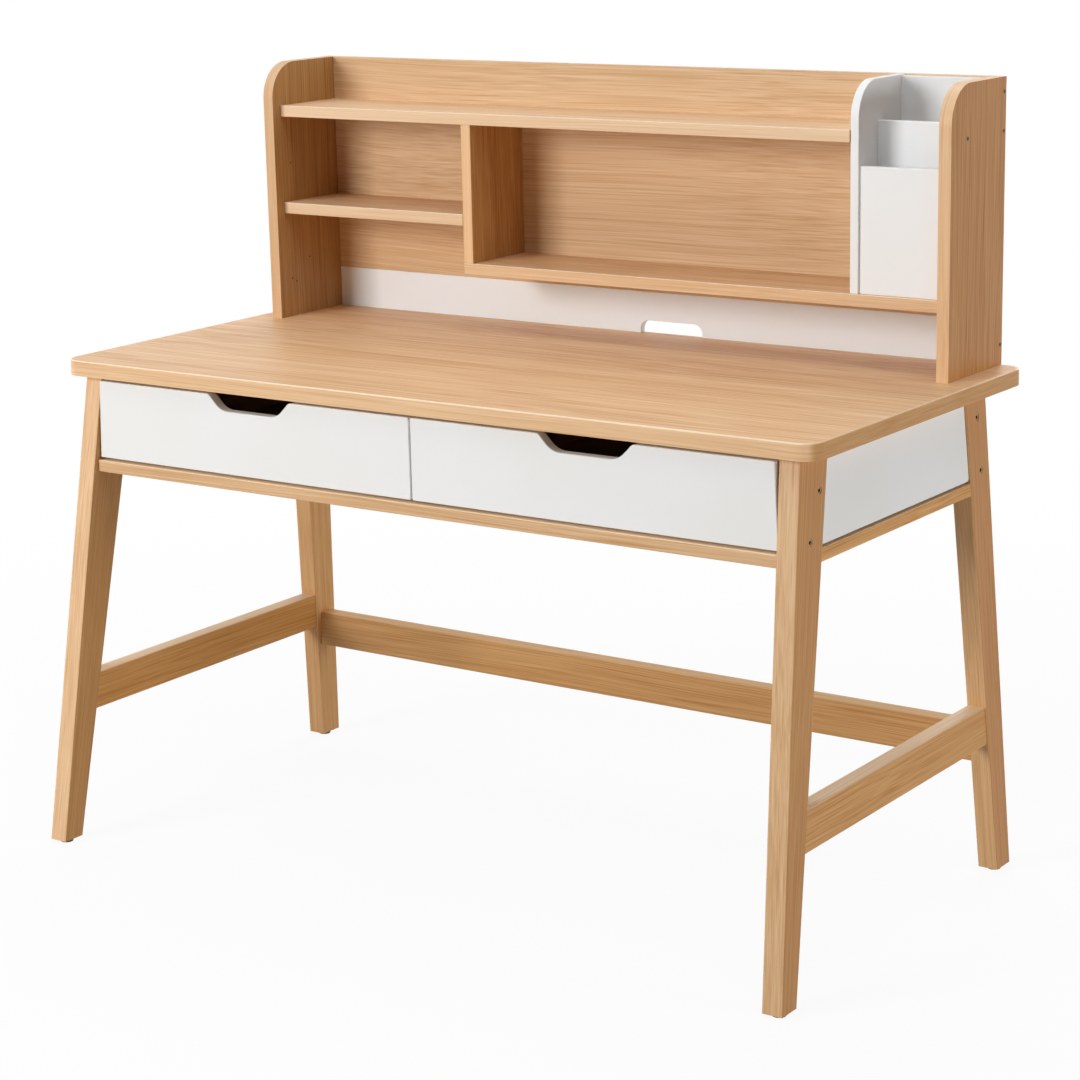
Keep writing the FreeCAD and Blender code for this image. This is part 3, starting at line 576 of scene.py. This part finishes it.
# the profile of each head from its foot to its sunk middle: radius and height, in metres
PAN_HEAD = ((0.0030, -0.0004), (0.0030, 0.0002), (0.0025, 0.0006), (0.0014, 0.0007),
            (0.0012, 0.0001))
FLUSH_HEAD = ((0.0035, -0.0004), (0.0035, 0.0001), (0.0032, 0.00025), (0.0016, 0.00025),
              (0.0013, 0.00005))
SLIDE_HEAD = ((0.0036, -0.0003), (0.0036, 0.0003), (0.0030, 0.0007), (0.0013, 0.0007),
              (0.0010, 0.0002))
PIN_HEAD = ((0.0016, -0.0004), (0.0016, 0.0002), (0.0011, 0.0003))
CAM = ((0.0075, -0.0004), (0.0075, 0.0003), (0.0070, 0.0006), (0.0023, 0.0006),
       (0.0020, 0.0001))


def fixings(name, body, finish, profile, spots, around=18):
    """Round heads turned from one profile, at spots with the way that each one faces."""
    turns = [math.tau * step / around for step in range(around)]
    mesh = bmesh.new()
    for spot, facing in spots:
        turn = Vector(facing).to_track_quat("Z", "Y").to_matrix().to_4x4()
        stand = Matrix.Translation(Vector(spot)) @ turn
        rings = []
        for radius, height in profile:
            points = [(radius * math.cos(t), radius * math.sin(t), height) for t in turns]
            rings.append([mesh.verts.new(stand @ Vector(point)) for point in points])
        mesh.faces.new(reversed(rings[0]))
        mesh.faces.new(rings[-1])
        for low, high in zip(rings, rings[1:]):
            for step in range(around):
                after = (step + 1) % around
                mesh.faces.new((low[step], low[after], high[after], high[step]))
    heads = bpy.data.meshes.new(name)
    mesh.to_mesh(heads)
    mesh.free()
    heads.materials.append(finish)
    piece = bpy.data.objects.new(name, heads)
    bpy.context.scene.collection.objects.link(piece)
    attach(piece, body)


shelf_low, shelf_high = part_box("hutch_top_shelf")
back_low, back_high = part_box("hutch_back_panel")
desk_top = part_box("desktop")[1][2]
in_back = (back_low[1] + back_high[1]) / 2
SIDE_SCREWS = ((shelf_low[1] + 0.032, shelf_high[2] - 0.0085), (in_back, back_high[2] - 0.021),
               (in_back, shelf_high[2] - 0.008), (in_back, desk_top + 0.030))
for hand, way in (("right", 1), ("left", -1)):
    low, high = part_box(f"hutch_side_{hand}")
    outer = high[0] if way > 0 else low[0]
    spots = [((outer, y, z), (way, 0, 0)) for y, z in SIDE_SCREWS]
    fixings(f"hutch_side_screws_{hand}", "frame", dark_screw, PAN_HEAD, spots)

# how far back and how high each pin is, in metres
PINS = ((0.222, 1.000), (0.262, 0.842), (0.215, 0.812), (0.226, 0.806))
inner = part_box("hutch_side_left")[1][0]
spots = [((inner, y, z), (1, 0, 0)) for y, z in PINS]
fixings("hutch_inside_pins", "frame", dark_screw, PIN_HEAD, spots, 12)

BACK_SCREW_INSET = 0.030
BACK_SCREW_COLUMNS = (0.012, 0.34, 0.66, 0.988)
rows = (back_low[2] + BACK_SCREW_INSET, (back_low[2] + back_high[2]) / 2,
        back_high[2] - BACK_SCREW_INSET)
columns = [back_low[0] + (back_high[0] - back_low[0]) * share for share in BACK_SCREW_COLUMNS]
spots = [((x, back_high[1], z), (0, 1, 0)) for z in rows for x in columns]
fixings("back_panel_screws", "frame", dark_screw, FLUSH_HEAD, spots)

CAM_BACK = 0.034                        # from the box's front, in metres
CAM_ROWS = (0.30, 0.74)                 # up the box's side, as shares of its height
SLIDE_SCREWS = (0.034, 0.162, 0.402)    # from the slide's front end, in metres
STRIP_THICK = 0.0012
for hand in ("right", "left"):
    cams, screws = [], []
    for place_on in ("outer", "inner"):
        outward = 1 if (place_on == "outer") == (hand == "right") else -1
        low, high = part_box(f"drawer_side_{place_on}_{hand}")
        face = low[0] if outward > 0 else high[0]
        for share in CAM_ROWS:
            z = low[2] + (high[2] - low[2]) * share
            cams.append(((face, low[1] + CAM_BACK, z), (-outward, 0, 0)))
        low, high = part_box(f"slide_drawer_member_{hand}_{place_on}")
        web = low[0] + STRIP_THICK if outward > 0 else high[0] - STRIP_THICK
        for back in SLIDE_SCREWS:
            screws.append(((web, low[1] + back, (low[2] + high[2]) / 2), (outward, 0, 0)))
    fixings(f"drawer_cams_{hand}", f"drawer_{hand}", zinc, CAM, cams, 24)
    fixings(f"slide_screws_{hand}", f"drawer_{hand}", dark_screw, SLIDE_HEAD, screws)


# ---------------------------------------------------------------- studio
# A wide pale floor, soft lamps on every side of which the one in front lights the desk most,
# and the camera.

FLOOR_SIZE = 60
FLOOR_SEEN, FLOOR_BOUNCE = 0.88, 0.50     # its grey as seen, and as the desk is lit by it
SHADOWS_TO, WHITE_FROM = 0.8, 3.0         # metres from the desk's middle
WHITE_NEAR = 0.92
AIR_LIGHT = 0.08


def seen_plainly(add):
    """One where a thing is seen, in a gloss or through glass too, and nothing where it only
    lights the desk."""
    path = add("LightPath", {}).outputs
    seen = math_of(add, "MAXIMUM", path["Is Camera Ray"], path["Is Glossy Ray"])
    return math_of(add, "MAXIMUM", seen, path["Is Transmission Ray"])


floor_finish = bpy.data.materials.new("pale_floor")
floor_finish.use_nodes = True
add = nodes_in(floor_finish.node_tree)
seen = seen_plainly(add)
away = add("VectorMath", {0: add("TexCoord", {}).outputs["Object"]}, operation="LENGTH")
fade = between(add, away.outputs["Value"], SHADOWS_TO, WHITE_FROM, WHITE_NEAR, 1.0)
grey = add("MapRange", {0: seen, 3: FLOOR_BOUNCE, 4: FLOOR_SEEN}).outputs[0]
matt = add("BsdfDiffuse", {"Color": grey}).outputs[0]
glow = add("Emission", {"Color": (1, 1, 1)}).outputs[0]
blend = add("MixShader", {0: math_of(add, "MULTIPLY", seen, fade), 1: matt, 2: glow})
add("OutputMaterial", {"Surface": blend.outputs[0]})

mesh = bmesh.new()
bmesh.ops.create_grid(mesh, x_segments=8, y_segments=8, size=FLOOR_SIZE)
floor_mesh = bpy.data.meshes.new("studio_floor")
mesh.to_mesh(floor_mesh)
mesh.free()
floor_mesh.materials.append(floor_finish)
floor = bpy.data.objects.new("studio_floor", floor_mesh)
bpy.context.scene.collection.objects.link(floor)

world = bpy.data.worlds.new("studio_air")
bpy.context.scene.world = world
world.use_nodes = True
add = nodes_in(world.node_tree)
level = add("MapRange", {0: seen_plainly(add), 3: AIR_LIGHT, 4: 1.0}).outputs[0]
air = add("Background", {"Color": (1, 1, 1), "Strength": level})
add("OutputWorld", {"Surface": air.outputs[0]})


DESK_MIDDLE = Vector((0, 0, 0.6))


def soft_lamp(name, spot, size, watts):
    """A square soft light that faces the middle of the desk."""
    lamp = bpy.data.lights.new(name, "AREA")
    lamp.size = size
    lamp.energy = watts
    holder = bpy.data.objects.new(name, lamp)
    holder.location = spot
    holder.rotation_euler = (DESK_MIDDLE - Vector(spot)).to_track_quat("-Z", "Y").to_euler()
    bpy.context.scene.collection.objects.link(holder)


soft_lamp("key_light", (-2.2, -5.05, 2.3), 2.2, 204)
soft_lamp("top_light", (0.9, -1.4, 5.2), 3.2, 82)
soft_lamp("side_light", (8.8, 0.9, 1.5), 3.0, 288)
soft_lamp("back_light", (-1.3, 2.6, 5.2), 3.0, 80)
soft_lamp("rear_fill", (-0.3, 6.3, 1.6), 3.0, 130)
soft_lamp("left_fill", (-6.6, 0.8, 1.4), 3.0, 115)

SWING, RISE, TILT = math.radians(34.922), math.radians(13.883), math.radians(-1.25)
LOOKED_AT = Vector((0.0233, 0.0240, 0.4871))
AWAY = 4.1766
FOCAL_LENGTH, SENSOR_WIDTH = 93.463, 36
toward = Vector((math.sin(SWING) * math.cos(RISE), -math.cos(SWING) * math.cos(RISE),
                 math.sin(RISE)))
lens = bpy.data.cameras.new("camera")
lens.sensor_width = SENSOR_WIDTH
lens.lens = FOCAL_LENGTH
camera = bpy.data.objects.new("camera", lens)
turn = (-toward).to_track_quat("-Z", "Y").to_matrix() @ Matrix.Rotation(TILT, 3, "Z")
camera.matrix_world = Matrix.Translation(LOOKED_AT + toward * AWAY) @ turn.to_4x4()
bpy.context.scene.collection.objects.link(camera)
bpy.context.scene.camera = camera
bpy.context.scene.view_settings.view_transform = "Standard"

bpy.context.view_layer.update()
